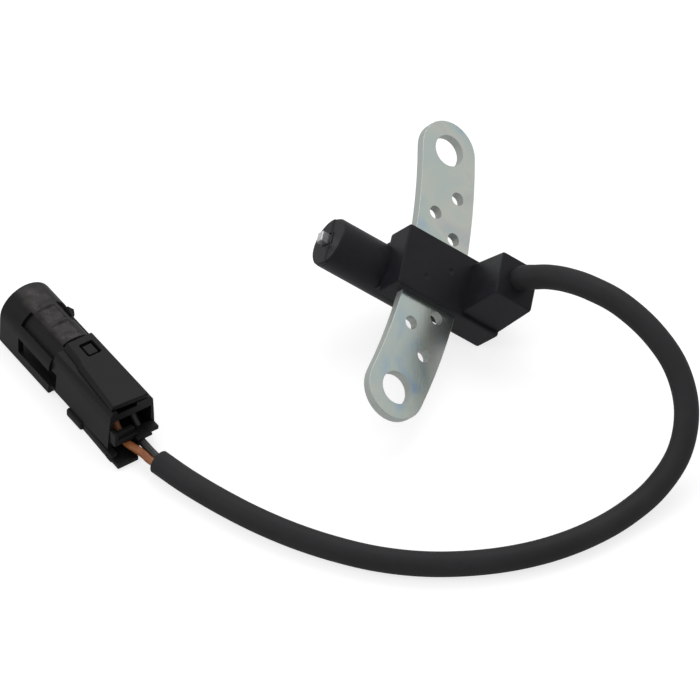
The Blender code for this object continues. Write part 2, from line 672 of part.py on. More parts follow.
def build_rear_details(housing):
    """The open end: recess, slot under the cover, shelf, bridge and ways out for the cores."""
    behind = BODY_REAR - MM
    recess = block((behind, -END_HALF, END_FLOOR), (END_RECESS, END_HALF, END_ROOF))
    combine(housing, tool("end_recess", recess, connector), 'DIFFERENCE')
    lip_top = body_top - LIP_DROP
    lip_front = BODY_REAR + LIP_THICKNESS
    lowered = block((behind, -TERMINAL_PITCH / 4, lip_top), (lip_front + MM, END_HALF - MM,
                                                            body_top + MM))
    combine(housing, tool("lip_step", lowered, connector), 'DIFFERENCE')
    pocket = block((lip_front, -TERMINAL_PITCH / 4, body_top - LIP_POCKET),
                   (lip_front + LIP_POCKET, END_HALF - MM, body_top + MM))
    combine(housing, tool("lip_pocket", pocket, connector), 'DIFFERENCE')

    near_face, far_face = END_HALF + MM, FAR_INSET - END_HALF - MM
    inward = BODY_REAR + GAP
    tray = block((TRAY_REAR, far_face + TRAY_INSET, body_floor + GAP),
                 (inward, CORE_NOTCH[0] * MM / 2, TRAY_TOP), GAP / 2)
    combine(housing, tool("end_tray", tray, connector), 'UNION')
    tab = block((TRAY_REAR + MM, far_face, TRAY_TOP - MM),
                (inward, far_face + TAB_WIDTH, TRAY_TOP + GAP / 2), GAP / 2)
    combine(housing, tool("end_tab", tab, connector), 'UNION')
    arm = block((BRIDGE_REAR, near_face - BRIDGE_WIDTH, CORE_NOTCH_TOP),
                (inward, near_face, ARM_TOP), GAP / 2)
    combine(housing, tool("bridge_arm", arm, connector), 'UNION')
    bar = block((BRIDGE_REAR, 0.0, CORE_NOTCH_TOP),
                (BRIDGE_REAR + BRIDGE_WIDTH, near_face - GAP, CORE_NOTCH_TOP + BRIDGE_THICKNESS),
                GAP / 2)
    combine(housing, tool("bridge_bar", bar, connector), 'UNION')
    web = block((BRIDGE_REAR + BRIDGE_WIDTH - GAP, GAP, CORE_NOTCH_TOP + GAP),
                (BODY_REAR - GAP, near_face - 2 * GAP, WEB_TOP), GAP / 2)
    combine(housing, tool("bridge_web", web, connector), 'UNION')
    for side, name in ((1, "brown"), (-1, "black")):
        notch = block((TRAY_REAR - MM, side * CORE_NOTCH[0] * MM, body_floor - MM),
                      (END_RECESS - 2 * MM, side * CORE_NOTCH[1] * MM, CORE_NOTCH_TOP))
        combine(housing, tool(f"{name}_core_notch", notch, connector), 'DIFFERENCE')


def build_housing():
    """Shroud and rear body joined, then the mouth, bores and details."""
    shroud = extruded(arch_outline(shroud_half, 0.0, SHROUD_CORNER), 'X', shroud_rear,
                      CONNECTOR_LENGTH)
    housing = piece("connector_housing", shroud, connector, black_plastic)
    right = [(across * MM, up * MM) for across, up in REAR_SECTION]
    section = right + [(FAR_INSET - across, up) for across, up in reversed(right)]
    rear = extruded(section, 'X', BODY_REAR, shroud_rear + MM)
    combine(housing, tool("rear_body_form", rear, connector), 'UNION')
    snap = block((SNAP_REAR, SNAP_SIDES[0] * MM, body_top - MM),
                 (SNAP_REAR + SNAP_LENGTH, SNAP_SIDES[1] * MM, body_top + COVER_THICKNESS), GAP / 2)
    combine(housing, tool("snap_lug", snap, connector), 'UNION')
    mouth = extruded(arch_outline(cavity_half, SOCKET_FLOOR, SHROUD_CORNER / 2), 'X',
                     wall_between, CONNECTOR_LENGTH + MM)
    combine(housing, tool("mouth", mouth, connector), 'DIFFERENCE')
    build_shroud_details(housing)
    build_rear_details(housing)
    for number, line in enumerate(terminal_lines, 1):
        bore = rod(END_RECESS - MM, bore_front, SEAL_BORE / 2, line, TERMINAL_LEVEL, 20)
        combine(housing, tool(f"seal_bore_{number}", bore, connector), 'DIFFERENCE')
        hole = rod(bore_front - MM, wall_between + MM, PIN_DIAMETER / 2 + GAP, line,
                   TERMINAL_LEVEL, 16)
        combine(housing, tool(f"pin_hole_{number}", hole, connector), 'DIFFERENCE')
    round_shading(housing, 30)
    return housing


def build_cover():
    """The flat cover over the rear body, with a window for its snap lug."""
    level = body_top + GAP
    outline = [(forward * MM, across * MM) for forward, across in COVER_OUTLINE]
    cover = piece("connector_cover", extruded(outline, 'Z', level, level + COVER_THICKNESS),
                  connector, black_plastic)
    window = block((SNAP_REAR - SNAP_CLEARANCE, SNAP_SIDES[0] * MM - SNAP_CLEARANCE, body_top),
                   (SNAP_REAR + SNAP_LENGTH + SNAP_CLEARANCE, SNAP_SIDES[1] * MM + SNAP_CLEARANCE,
                    level + COVER_THICKNESS + MM))
    combine(cover, tool("cover_window", window, connector), 'DIFFERENCE')
    return cover


build_housing()
build_cover()


# Terminals and seals: one of each on every core

def build_terminal(number, line):
    """A turned pin on a thicker barrel, its nose tapered."""
    pin, barrel = PIN_DIAMETER / 2, BARREL_DIAMETER / 2
    profile = [(barrel_rear, 0.0), (barrel_rear, barrel), (BARREL_FRONT, barrel),
               (BARREL_FRONT, pin), (PIN_TIP - PIN_DIAMETER, pin), (PIN_TIP, pin / 2),
               (PIN_TIP, 0.0)]
    made = piece(f"pin_terminal_{number}", turned(profile, line, TERMINAL_LEVEL, 16),
                 connector, tinned_brass)
    round_shading(made)


def build_seal(number, line):
    """A ribbed rubber sleeve round the core, in the housing's bore."""
    inner, outer = CORE_DIAMETER / 2 + GAP, SEAL_BORE / 2 - GAP
    root = outer - GAP
    rib = SEAL_LENGTH / 6
    profile = [(seal_rear, inner)]
    for i in range(3):
        start = seal_rear + 2 * i * rib
        profile += [(start, outer), (start + rib, outer), (start + rib, root),
                    (start + 2 * rib, root)]
    profile.append((seal_rear + SEAL_LENGTH, inner))
    made = piece(f"wire_seal_{number}", turned(profile, line, TERMINAL_LEVEL, 16),
                 connector, seal_rubber)
    round_shading(made)


for number, line in enumerate(terminal_lines, 1):
    build_terminal(number, line)
    build_seal(number, line)


# Lock under the rear body: it is what the connector leans on at its near side

def build_lock():
    """A slide: a rail with a thicker nose, and a tail plate with a rim."""
    top = body_floor - GAP
    foot = top - LOCK_HEIGHT
    inner, outer = LOCK_RAIL[0] * MM, LOCK_RAIL[1] * MM
    rail = block((BRIDGE_REAR, inner, foot), (LOCK_LENGTH - MM, outer, top), GAP)
    lock = piece("connector_lock", rail, connector, black_plastic)
    nose = block((LOCK_LENGTH - NOSE_LENGTH, inner, foot), (LOCK_LENGTH, outer + NOSE_STEP, top),
                 2 * GAP, 2)
    combine(lock, tool("lock_nose", nose, connector), 'UNION')
    low = (TAIL_REAR, TAIL_SIDE, foot + GAP)
    tail = block(low, (BODY_REAR, outer + GAP, low[2] + TAIL_THICKNESS), GAP / 2)
    combine(lock, tool("lock_tail", tail, connector), 'UNION')
    rim = block(low, (TAIL_REAR + TAIL_RIM, outer + GAP, low[2] + TAIL_THICKNESS + GAP), GAP / 2)
    combine(lock, tool("lock_rim", rim, connector), 'UNION')
    return lock


build_lock()


# Cores between the sheath and the connector: down through the notches and back to the sheath

def bare_core_points(side, line):
    """From the sheath's end, low through its notch, then up into the seal."""
    to_connector = Matrix.LocRotScale(CONNECTOR_PLACE, connector.rotation_euler, None).inverted()
    end = to_connector @ route[-1]
    along = (to_connector.to_3x3() @ (route[-1] - route[-2])).normalized()
    across = Vector((-along.y, along.x, -1.0)).normalized()
    start = end + along * GAP + across * side * CORE_PITCH / 2
    low = body_floor + CORE_DIAMETER / 2
    points = [start, start + along * CORE_DIAMETER,
              Vector((TRAY_REAR + MM, line, low)), Vector((BODY_REAR, line, low)),
              Vector((BODY_REAR + 2 * MM, line, low + 3 * GAP)),
              Vector((END_RECESS - 2 * MM, line, TERMINAL_LEVEL - MM - GAP)),
              Vector((END_RECESS, line, TERMINAL_LEVEL - GAP / 3)),
              Vector((END_RECESS + 2 * MM, line, TERMINAL_LEVEL)),
              Vector((barrel_rear - GAP, line, TERMINAL_LEVEL))]
    return smooth_path(points, CORE_DIAMETER)


for side, line, colour, insulation in ((1, terminal_lines[0], "brown", brown_insulation),
                                       (-1, terminal_lines[1], "black", black_insulation)):
    tube(f"core_{colour}", bare_core_points(side, line), CORE_DIAMETER, insulation, connector)
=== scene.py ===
import json
from math import radians

import bpy
from mathutils import Euler, Matrix, Vector

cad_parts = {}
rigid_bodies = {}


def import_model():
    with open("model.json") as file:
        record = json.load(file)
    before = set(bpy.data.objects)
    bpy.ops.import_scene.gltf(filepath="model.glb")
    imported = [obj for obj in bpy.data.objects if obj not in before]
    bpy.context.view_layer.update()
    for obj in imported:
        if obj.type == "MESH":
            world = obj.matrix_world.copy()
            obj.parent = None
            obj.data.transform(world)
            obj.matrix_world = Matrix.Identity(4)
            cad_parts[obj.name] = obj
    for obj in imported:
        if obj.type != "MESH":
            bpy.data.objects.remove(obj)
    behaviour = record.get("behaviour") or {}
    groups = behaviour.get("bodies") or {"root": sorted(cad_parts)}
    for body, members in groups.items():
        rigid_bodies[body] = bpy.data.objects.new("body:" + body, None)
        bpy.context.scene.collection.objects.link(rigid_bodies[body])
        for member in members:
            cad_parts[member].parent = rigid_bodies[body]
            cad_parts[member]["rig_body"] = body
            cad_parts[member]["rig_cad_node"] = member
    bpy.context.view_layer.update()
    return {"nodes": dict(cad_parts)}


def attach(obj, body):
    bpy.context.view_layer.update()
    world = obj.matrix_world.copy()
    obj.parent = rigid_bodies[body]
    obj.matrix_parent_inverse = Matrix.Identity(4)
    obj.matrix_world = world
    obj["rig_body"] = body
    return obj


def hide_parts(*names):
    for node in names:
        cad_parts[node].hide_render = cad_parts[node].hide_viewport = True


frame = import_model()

MM = 0.001


# Camera: a long lens that looks down steeply on the part as it lies on the table,
# in line with +Y, so that the bracket stands upright in the picture.

CAMERA_AT = (-17.36, -638.03, 682.41)
LOOKS_DOWN = 47.3
camera_data = bpy.data.cameras.new("camera")
camera_data.lens = 205.71
camera_data.sensor_width = 36.0
camera_data.clip_start = 0.01
camera_data.clip_end = 20.0
camera = bpy.data.objects.new("camera", camera_data)
camera.location = Vector(CAMERA_AT) * MM
camera.rotation_euler = (radians(90.0 - LOOKS_DOWN), 0.0, 0.0)
bpy.context.scene.collection.objects.link(camera)
bpy.context.scene.camera = camera


# Cable sheath: a smooth extruded rubber hose over two cores, stiff enough to keep its arch.
# It leaves the tower square to its face, drops to the table and ends short of the connector.

def linear(colour):
    """An sRGB hex colour as linear RGBA."""
    values = [int(colour[i:i + 2], 16) / 255 for i in (1, 3, 5)]
    return [v / 12.92 if v <= 0.04045 else ((v + 0.055) / 1.055) ** 2.4 for v in values] + [1.0]


def new_material(name):
    """A material, its node tree, its Principled shader and the piece's own coordinates."""
    material = bpy.data.materials.new(name)
    material.use_nodes = True
    tree = material.node_tree
    shader = tree.nodes["Principled BSDF"]
    place = add_node(tree, "ShaderNodeTexCoord").outputs["Object"]
    return material, tree, shader, place


def add_node(tree, kind, settings=None, **links):
    """One node. Settings that start with a capital or a digit are sockets, stops are the
    places and hex colours of a ramp, and links join the node's inputs."""
    node = tree.nodes.new(kind)
    for key, value in (settings or {}).items():
        if key == "stops":
            elements = node.color_ramp.elements
            elements.remove(elements[-1])
            for number, (position, colour) in enumerate(value):
                element = elements[0] if number == 0 else elements.new(position)
                element.position = position
                element.color = linear(colour)
        elif key[0].isupper() or key.isdigit():
            socket = node.inputs[int(key)] if key.isdigit() else node.inputs[key]
            socket.default_value = value
        else:
            setattr(node, key, value)
    for key, source in links.items():
        name = key.replace("_", " ")
        socket = node.inputs[int(name[1:])] if name[1:].isdigit() else node.inputs[name]
        tree.links.new(source, socket)
    return node


def smooth_line(points, parts):
    """Points on a smooth curve through the given ones, each span in equal parts."""
    ends = [points[0] * 2 - points[1]] + points + [points[-1] * 2 - points[-2]]
    line = []
    for before, here, after, beyond in zip(ends, ends[1:], ends[2:], ends[3:]):
        for i in range(parts):
            t = i / parts
            line.append(0.5 * (2 * here + (after - before) * t
                               + (2 * before - 5 * here + 4 * after - beyond) * t ** 2
                               + (3 * here - before - 3 * after + beyond) * t ** 3))
    return line + [points[-1]]


def hose(name, line, diameter, sides, material):
    """A round cable as a curve of one open spline with closed ends, with so many sides."""
    curve = bpy.data.curves.new(name, "CURVE")
    curve.dimensions = "3D"
    curve.bevel_depth = diameter / 2
    curve.bevel_resolution = sides // 2 - 2
    curve.use_fill_caps = True
    spline = curve.splines.new("POLY")
    spline.points.add(len(line) - 1)
    for point, place in zip(spline.points, line):
        point.co = (*place, 1.0)
    spline.use_smooth = True
    piece = bpy.data.objects.new(name, curve)
    bpy.context.scene.collection.objects.link(piece)
    curve.materials.append(material)
    return piece


# Black chloroprene rubber: matt, with a faint grey bloom in patches of about a centimetre
# and a fine grain from the die. The grain is 0.4 mm, coarser than real, so that it shows.
sheath_rubber, tree, shader, place = new_material("black chloroprene sheath")
bloom = add_node(tree, "ShaderNodeTexNoise", {"Scale": 1.0 / (10.0 * MM), "Detail": 6.0,
                                          "Roughness": 0.62}, Vector=place)
shade = add_node(tree, "ShaderNodeValToRGB", {"stops": ((0.30, "#1f1f21"), (0.72, "#2a2a2c"))},
                 Fac=bloom.outputs["Fac"])
tree.links.new(shade.outputs["Color"], shader.inputs["Base Color"])
rough = add_node(tree, "ShaderNodeMapRange", {"To Min": 0.58, "To Max": 0.74},
                 Value=bloom.outputs["Fac"])
tree.links.new(rough.outputs["Result"], shader.inputs["Roughness"])
grain = add_node(tree, "ShaderNodeTexNoise", {"Scale": 1.0 / (0.4 * MM), "Detail": 3.0},
                 Vector=place)
bump = add_node(tree, "ShaderNodeBump", {"Strength": 0.4, "Distance": 0.04 * MM},
                Height=grain.outputs["Fac"])
tree.links.new(bump.outputs["Normal"], shader.inputs["Normal"])
shader.inputs["Specular IOR Level"].default_value = 0.28

# The centre line in mm, from the mouth of the tower to the end by the connector. The sheath
# starts deeper, inside the tower, and it lies on the table from its twelfth point on. The
# head turn is how the head lies on the table, and the tower points along its third axis.
CABLE_DIAMETER = 5.7 * MM
IN_TOWER = 3.7 * MM
HEAD_TURN = (radians(-15.2), radians(-37.3), radians(177.9))
CABLE_ROUTE = (
    (21.49, -5.13, 20.143), (24.9, -7.0, 23.1), (27.9, -8.7, 24.9), (32.0, -11.2, 26.5),
    (37.0, -14.4, 27.3), (43.6, -18.9, 26.8), (50.6, -25.1, 24.1), (55.9, -31.9, 19.7),
    (58.1, -39.6, 14.2), (56.4, -47.5, 8.8), (51.1, -54.6, 4.8), (43.9, -60.9, 3.0),
    (36.0, -66.5, 2.9), (27.2, -70.8, 2.9), (17.9, -73.6, 2.9), (8.2, -75.0, 2.9),
    (-1.5, -75.1, 2.9), (-11.2, -73.7, 2.9), (-20.5, -70.9, 2.9), (-29.5, -67.1, 2.9),
    (-38.1, -62.4, 2.9), (-46.2, -57.0, 2.9), (-53.9, -51.1, 2.9), (-60.4, -45.3, 2.9),
)
head_turn = Euler(HEAD_TURN).to_matrix()
tower_out = head_turn @ Vector((0.0, 0.0, 1.0))
route = [Vector(point) * MM for point in CABLE_ROUTE]
route.insert(1, route[0] + tower_out * CABLE_DIAMETER / 3)
sheath_line = [route[0] - tower_out * IN_TOWER] + smooth_line(route, parts=8)
sheath = hose("sheath", sheath_line, CABLE_DIAMETER, sides=48, material=sheath_rubber)
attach(sheath, "root")
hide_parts("cable_sheath")


# Floor: a pale photographer's table. It shows white to the camera, less so in reflections,
# and keeps a faint soft shadow under the part.

bpy.ops.object.select_all(action="DESELECT")
bpy.ops.mesh.primitive_plane_add(size=6.0, location=(0.0, 0.0, 0.0))
floor = bpy.context.active_object
floor.name = "table_top"

# White laminate without gloss: a pale grey where the lamps light it, and a glow that brings
# it to white for the camera. Reflections show only a share of that glow.
TABLE_GLOW = 0.72
MIRRORED_SHARE = 0.4
floor_white, tree, shader, _ = new_material("white laminate table")
shader.inputs["Base Color"].default_value = linear("#acacac")
shader.inputs["Roughness"].default_value = 0.9
shader.inputs["Specular IOR Level"].default_value = 0.0
path = add_node(tree, "ShaderNodeLightPath")
seen = add_node(tree, "ShaderNodeMath", {"operation": "MULTIPLY_ADD", "1": MIRRORED_SHARE},
                _0=path.outputs["Is Glossy Ray"], _2=path.outputs["Is Camera Ray"])
glow = add_node(tree, "ShaderNodeMath", {"operation": "MULTIPLY", "1": TABLE_GLOW},
                _0=seen.outputs["Value"])
emission = add_node(tree, "ShaderNodeEmission", {"Color": linear("#ffffff")},
                    Strength=glow.outputs["Value"])
both = add_node(tree, "ShaderNodeAddShader", None, _0=shader.outputs["BSDF"],
                _1=emission.outputs["Emission"])
tree.links.new(both.outputs["Shader"], tree.nodes["Material Output"].inputs["Surface"])
floor.data.materials.append(floor_white)


# Light: an even white room, a large softbox above and behind, and a smaller one at the left.
# The room fills the shadows, the large box gives the plate its sheen and lights the upper
# faces, and the small one opens the left sides.

world = bpy.data.worlds.new("white room")
bpy.context.scene.world = world
world.use_nodes = True
background = world.node_tree.nodes["Background"]
background.inputs["Color"].default_value = linear("#ffffff")
background.inputs["Strength"].default_value = 0.62


def softbox(name, place, aim, size, power):
    """A square area lamp that faces a point, in metres and watts."""
    data = bpy.data.lights.new(name, "AREA")
    data.shape = "SQUARE"
    data.size = size
    data.energy = power
    lamp = bpy.data.objects.new(name, data)
    lamp.location = place
    lamp.rotation_euler = (Vector(aim) - Vector(place)).to_track_quat("-Z", "Y").to_euler()
    bpy.context.scene.collection.objects.link(lamp)


softbox("softbox above", (0.1, 0.55, 0.9), aim=(0.0, -0.02, 0.0), size=0.7, power=3.6)
softbox("softbox left", (-0.8, -0.2, 0.6), aim=(-0.02, 0.0, 0.01), size=0.4, power=1.4)
bpy.context.scene.view_settings.view_transform = "Standard"


# Bracket plate: pressed from 2.4 mm steel strip and zinc plated, then passivated. The faces
# keep the rolled sheen of the strip, and the sheared walls and holes are duller and greyer.

def merged_copy(node, name):
    """A copy of a CAD node with its loose triangles joined into one skin."""
    bpy.ops.object.select_all(action="DESELECT")
    original = frame["nodes"][node]
    original.select_set(True)
    bpy.context.view_layer.objects.active = original
    bpy.ops.object.duplicate()
    piece = bpy.context.active_object
    piece.name = name
    piece.data.name = name
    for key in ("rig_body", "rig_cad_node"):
        if key in piece:
            del piece[key]
    bpy.ops.object.mode_set(mode="EDIT")
    bpy.ops.mesh.select_all(action="SELECT")
    bpy.ops.mesh.remove_doubles(threshold=0.002 * MM)
    bpy.ops.mesh.dissolve_limited(angle_limit=radians(0.5))
    bpy.ops.object.mode_set(mode="OBJECT")
    return piece


def soften(piece, width, angle=32.0):
    """Round the sharp edges a little and shade the round stretches smooth."""
    if width:
        edge = piece.modifiers.new("edge", "BEVEL")
        edge.width = width
        edge.segments = 2
        edge.limit_method = "ANGLE"
        edge.angle_limit = radians(angle)
        edge.miter_outer = "MITER_ARC"
        bpy.ops.object.modifier_apply(modifier=edge.name)
    if piece.data.has_custom_normals:
        bpy.ops.mesh.customdata_custom_splitnormals_clear()
    bpy.ops.object.shade_smooth_by_angle(angle=radians(angle))
    even = piece.modifiers.new("even", "WEIGHTED_NORMAL")
    even.keep_sharp = True
    bpy.ops.object.modifier_apply(modifier=even.name)


def dress(piece, node, material):
    """Give a piece its one material and let it stand for a CAD node."""
    piece.data.materials.clear()
    piece.data.materials.append(material)
    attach(piece, "root")
    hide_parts(node)


# Zinc with a blue passivate: a pale grey metal with clouds of blue, green and straw, about
# seven to every 100 mm, a rolled grain along the strip and a darker, dull sheared wall. A
# face counts as wall as it turns from the plate's front: cosine 0.995 is 6 degrees, 0.90 is 26.
# The grain has 22 streaks to 10 mm across the strip, coarser than real, so that it shows.
WALL_BEGINS = 0.995
WALL_FULL = 0.90
WALL_DULLER = 0.36
STRIP_ALONG = radians(-11.0)
zinc, tree, shader, place = new_material("blue passivated zinc plate")
clouds = add_node(tree, "ShaderNodeTexNoise", {"Scale": 7.0 / (100.0 * MM), "Detail": 2.0,
                                           "Distortion": 0.8}, Vector=place)
tint = add_node(tree, "ShaderNodeValToRGB",
                {"stops": ((0.30, "#b3ccdf"), (0.42, "#ccd9d5"), (0.55, "#d8ddd4"),
                           (0.66, "#d2d5d2"), (0.76, "#c2d2d4"))}, Fac=clouds.outputs["Fac"])
normal = add_node(tree, "ShaderNodeNewGeometry").outputs["Normal"]
facing = add_node(tree, "ShaderNodeVectorMath", {"operation": "DOT_PRODUCT", "1": tower_out},
                  _0=normal)
square = add_node(tree, "ShaderNodeMath", {"operation": "ABSOLUTE"},
                  _0=facing.outputs["Value"])
wall = add_node(tree, "ShaderNodeMapRange", {"From Min": WALL_BEGINS, "From Max": WALL_FULL},
                Value=square.outputs["Value"])
coat = add_node(tree, "ShaderNodeMix", {"data_type": "RGBA", "7": linear("#c4c9c5")},
                _0=wall.outputs["Result"], _6=tint.outputs["Color"])
tree.links.new(coat.outputs[2], shader.inputs["Base Color"])
shader.inputs["Metallic"].default_value = 1.0
sheen = add_node(tree, "ShaderNodeMapRange", {"To Min": 0.17, "To Max": 0.30},
                 Value=clouds.outputs["Fac"])
dull = add_node(tree, "ShaderNodeMath", {"operation": "MULTIPLY_ADD", "1": WALL_DULLER},
                _0=wall.outputs["Result"], _2=sheen.outputs["Result"])
tree.links.new(dull.outputs["Value"], shader.inputs["Roughness"])
stretch = add_node(tree, "ShaderNodeMapping",
                   {"Rotation": (0.0, 0.0, STRIP_ALONG),
                    "Scale": (22.0 / (10.0 * MM), 16.0 / (100.0 * MM), 9.0 / (10.0 * MM))},
                   Vector=place)
rolled = add_node(tree, "ShaderNodeTexNoise", {"Scale": 1.0, "Detail": 4.0},
                  Vector=stretch.outputs["Vector"])
bump = add_node(tree, "ShaderNodeBump", {"Strength": 0.25, "Distance": 0.03 * MM},
                Height=rolled.outputs["Fac"])
tree.links.new(bump.outputs["Normal"], shader.inputs["Normal"])
plate = merged_copy("bracket_plate", "plate")
soften(plate, width=0.0, angle=50.0)
dress(plate, "bracket_plate", zinc)


# Sensor body: glass-filled nylon shot round the plate, the coil and the cable in one go.
# It grips the plate and the cable, and two ejector pins left shallow marks on its front.

def moulded_nylon(name, dark, light):
    """Black nylon: cloudy flow of its glass, 16 clouds to 100 mm, and a satin grain from the
    tool, drawn with 32 grains to 10 mm, coarser than real, so that it shows."""
    material, tree, shader, place = new_material(name)
    flow = add_node(tree, "ShaderNodeTexNoise", {"Scale": 16.0 / (100.0 * MM), "Detail": 5.0,
                                             "Roughness": 0.6}, Vector=place)
    shade = add_node(tree, "ShaderNodeValToRGB", {"stops": ((0.32, dark), (0.70, light))},
                     Fac=flow.outputs["Fac"])
    tree.links.new(shade.outputs["Color"], shader.inputs["Base Color"])
    rough = add_node(tree, "ShaderNodeMapRange", {"To Min": 0.40, "To Max": 0.56},
                     Value=flow.outputs["Fac"])
    tree.links.new(rough.outputs["Result"], shader.inputs["Roughness"])
    grain = add_node(tree, "ShaderNodeTexNoise", {"Scale": 32.0 / (10.0 * MM), "Detail": 2.0},
                     Vector=place)
    bump = add_node(tree, "ShaderNodeBump", {"Strength": 0.3, "Distance": 0.03 * MM},
                    Height=grain.outputs["Fac"])
    tree.links.new(bump.outputs["Normal"], shader.inputs["Normal"])
    shader.inputs["Specular IOR Level"].default_value = 0.25
    return material, tree, shader, place


def pick_corners(piece, local_frame, wanted):
    """Select only the corners that a rule picks from their places in a frame, in mm."""
    to_local = local_frame.inverted()
    for element in (*piece.data.edges, *piece.data.polygons):
        element.select = False
    for vert in piece.data.vertices:
        vert.select = wanted((to_local @ vert.co) / MM)


# How near a corner has to be to the box that picks it, in mm.
CORNER_SLACK = 0.03


def move_corners(piece, local_frame, low, high, shift):
    """Move the corners inside one box, all in mm of the frame given."""
    pick_corners(piece, local_frame,
                 lambda at: all(a - CORNER_SLACK < c < b + CORNER_SLACK
                                for a, c, b in zip(low, at, high)))
    bpy.ops.object.mode_set(mode="EDIT")
    bpy.ops.transform.translate(value=local_frame.to_3x3() @ (Vector(shift) * MM))
    bpy.ops.object.mode_set(mode="OBJECT")


# The head's own frame: X out of the snout, Y along the plate, Z out of the plate's front.
# Lengths in it are in mm. The cable's socket has a rim that closes in round the cable.
SOCKET_AT = Vector((-17.2, 0.2, 14.4))
SOCKET_REACH = 3.3
RIM_SLACK = 0.02
RIM_SHRINK = 0.915
# The slot that the plate fills opens on the block's two sides, and its lips close in on it.
BLOCK_SIDES = (-7.7, 8.3)
SLOT = ((-11.6, 4.42), (-2.7, 0.3))
SLOT_LIPS = ((0.48, -0.24), (0.27, -0.27))
# On the snout's tip, the small rib beside the bar is lowered and the rim's step raised.
TIP_RIB = ((22.0, -1.9, -8.5), (22.15, 1.3, -7.9))
RIB_SINK = 1.25
TIP_STEP = ((20.4, -7.0, -9.0), (20.4, 7.0, -3.0))
STEP_LIFT = 0.25
# The ejector pins' marks: their places on the block's front face, then that face's height and
# the radius and depth of the ball that bites them out.
EJECTOR_MARKS = ((-6.34, -1.29), (-0.22, 3.18))
FRONT_FACE = 2.0
MARK_ROUND = 2.2
MARK_DEPTH = 0.16
head_frame = Matrix.Translation(route[0] - head_turn @ (SOCKET_AT * MM)) @ head_turn.to_4x4()

body = merged_copy("sensor_body", "body")
for side in BLOCK_SIDES:
    for axis in (0, 1):
        for edge, lip in zip(SLOT[axis], SLOT_LIPS[axis]):
            low = [SLOT[0][0], side, SLOT[1][0]]
            high = [SLOT[0][1], side, SLOT[1][1]]
            low[2 * axis] = high[2 * axis] = edge
            shift = [0.0, 0.0, 0.0]
            shift[2 * axis] = lip
            move_corners(body, head_frame, low, high, shift)
move_corners(body, head_frame, *TIP_RIB, (-RIB_SINK, 0.0, 0.0))
move_corners(body, head_frame, *TIP_STEP, (STEP_LIFT, 0.0, 0.0))
pick_corners(body, head_frame,
             lambda at: (abs(at.z - SOCKET_AT.z) < RIM_SLACK
                         and (at - SOCKET_AT).length < SOCKET_REACH))
bpy.ops.object.mode_set(mode="EDIT")
bpy.ops.transform.resize(value=(RIM_SHRINK,) * 3, center_override=route[0])
bpy.ops.object.mode_set(mode="OBJECT")
for forward, across in EJECTOR_MARKS:
    middle = Vector((forward, across, FRONT_FACE + MARK_ROUND - MARK_DEPTH)) * MM
    bpy.ops.object.select_all(action="DESELECT")
    bpy.ops.mesh.primitive_uv_sphere_add(radius=MARK_ROUND * MM, segments=48, ring_count=32,
                                         location=head_frame @ middle)
    ball = bpy.context.active_object
    bpy.context.view_layer.objects.active = body
    mark = body.modifiers.new("mark", "BOOLEAN")
    mark.object = ball
    bpy.ops.object.modifier_apply(modifier=mark.name)
    bpy.data.objects.remove(ball)
body.select_set(True)
soften(body, width=0.0)
body_nylon = moulded_nylon("black glass-filled nylon", "#121216", "#1c1c22")[0]
dress(body, "sensor_body", body_nylon)


# Pole piece: a flat bar of soft steel that leads the magnet's field out through the snout.
# It is sheared to length, left unplated and moulded in, so that only its end stands out.

# Bare steel: a pale, neutral metal whose gloss varies in specks, about seven to 10 mm.
steel, tree, shader, place = new_material("bare sheared steel")
speckle = add_node(tree, "ShaderNodeTexNoise", {"Scale": 7.0 / (10.0 * MM), "Detail": 5.0},
                   Vector=place)
tint = add_node(tree, "ShaderNodeValToRGB", {"stops": ((0.35, "#c6c7c9"), (0.65, "#e2e3e5"))},
                Fac=speckle.outputs["Fac"])
tree.links.new(tint.outputs["Color"], shader.inputs["Base Color"])
shader.inputs["Metallic"].default_value = 1.0
rough = add_node(tree, "ShaderNodeMapRange", {"To Min": 0.24, "To Max": 0.42},
                 Value=speckle.outputs["Fac"])
tree.links.new(rough.outputs["Result"], shader.inputs["Roughness"])

# The corners of the bar's end, in mm of the head's frame, and how far they are drawn out.
BAR_END = ((22.1, -1.7, -11.0), (22.4, 1.1, -8.7))
BAR_DRAW = (0.5, 0.0, -0.3)
pole = merged_copy("pole_piece", "pole")
move_corners(pole, head_frame, *BAR_END, BAR_DRAW)
soften(pole, width=0.0)
dress(pole, "pole_piece", steel)


# Connector: the same black nylon from a smoother tool, moulded in three pieces. The housing
# has a round-topped shroud and a rear body, the flat cover snaps onto the rear body, and the
# lock slides in under it.

CONNECTOR_PLACE = Vector((-64.36, -41.15, 0.43)) * MM
CONNECTOR_LEAN = (radians(4.0), 0.0, radians(126.0))
connector_frame = Matrix.LocRotScale(CONNECTOR_PLACE, Euler(CONNECTOR_LEAN), None)

# Nylon with little gloss, nearly black. Handling has left a warm grey rub along the spine in
# blotches, 33 to 100 mm, with a few pale scuffs in it, nine to 10 mm. The rub fades from none
# to full between the two values of each pair, in mm of the connector's own frame: how far
# off the middle, how high up, and how far towards the mouth.
RUB_ASIDE = (4.2, 1.8)
RUB_UP = (11.4, 12.6)
RUB_AHEAD = (27.6, 28.6)
housing_nylon, tree, shader, place = moulded_nylon("black connector nylon", "#111112", "#18181a")
shader.inputs["Specular IOR Level"].default_value = 0.17
local = add_node(tree, "ShaderNodeMapping",
                 {"vector_type": "TEXTURE", "Location": CONNECTOR_PLACE,
                  "Rotation": CONNECTOR_LEAN}, Vector=place)
axes = add_node(tree, "ShaderNodeSeparateXYZ", None, Vector=local.outputs["Vector"])
aside = add_node(tree, "ShaderNodeMath", {"operation": "ABSOLUTE"}, _0=axes.outputs["Y"])
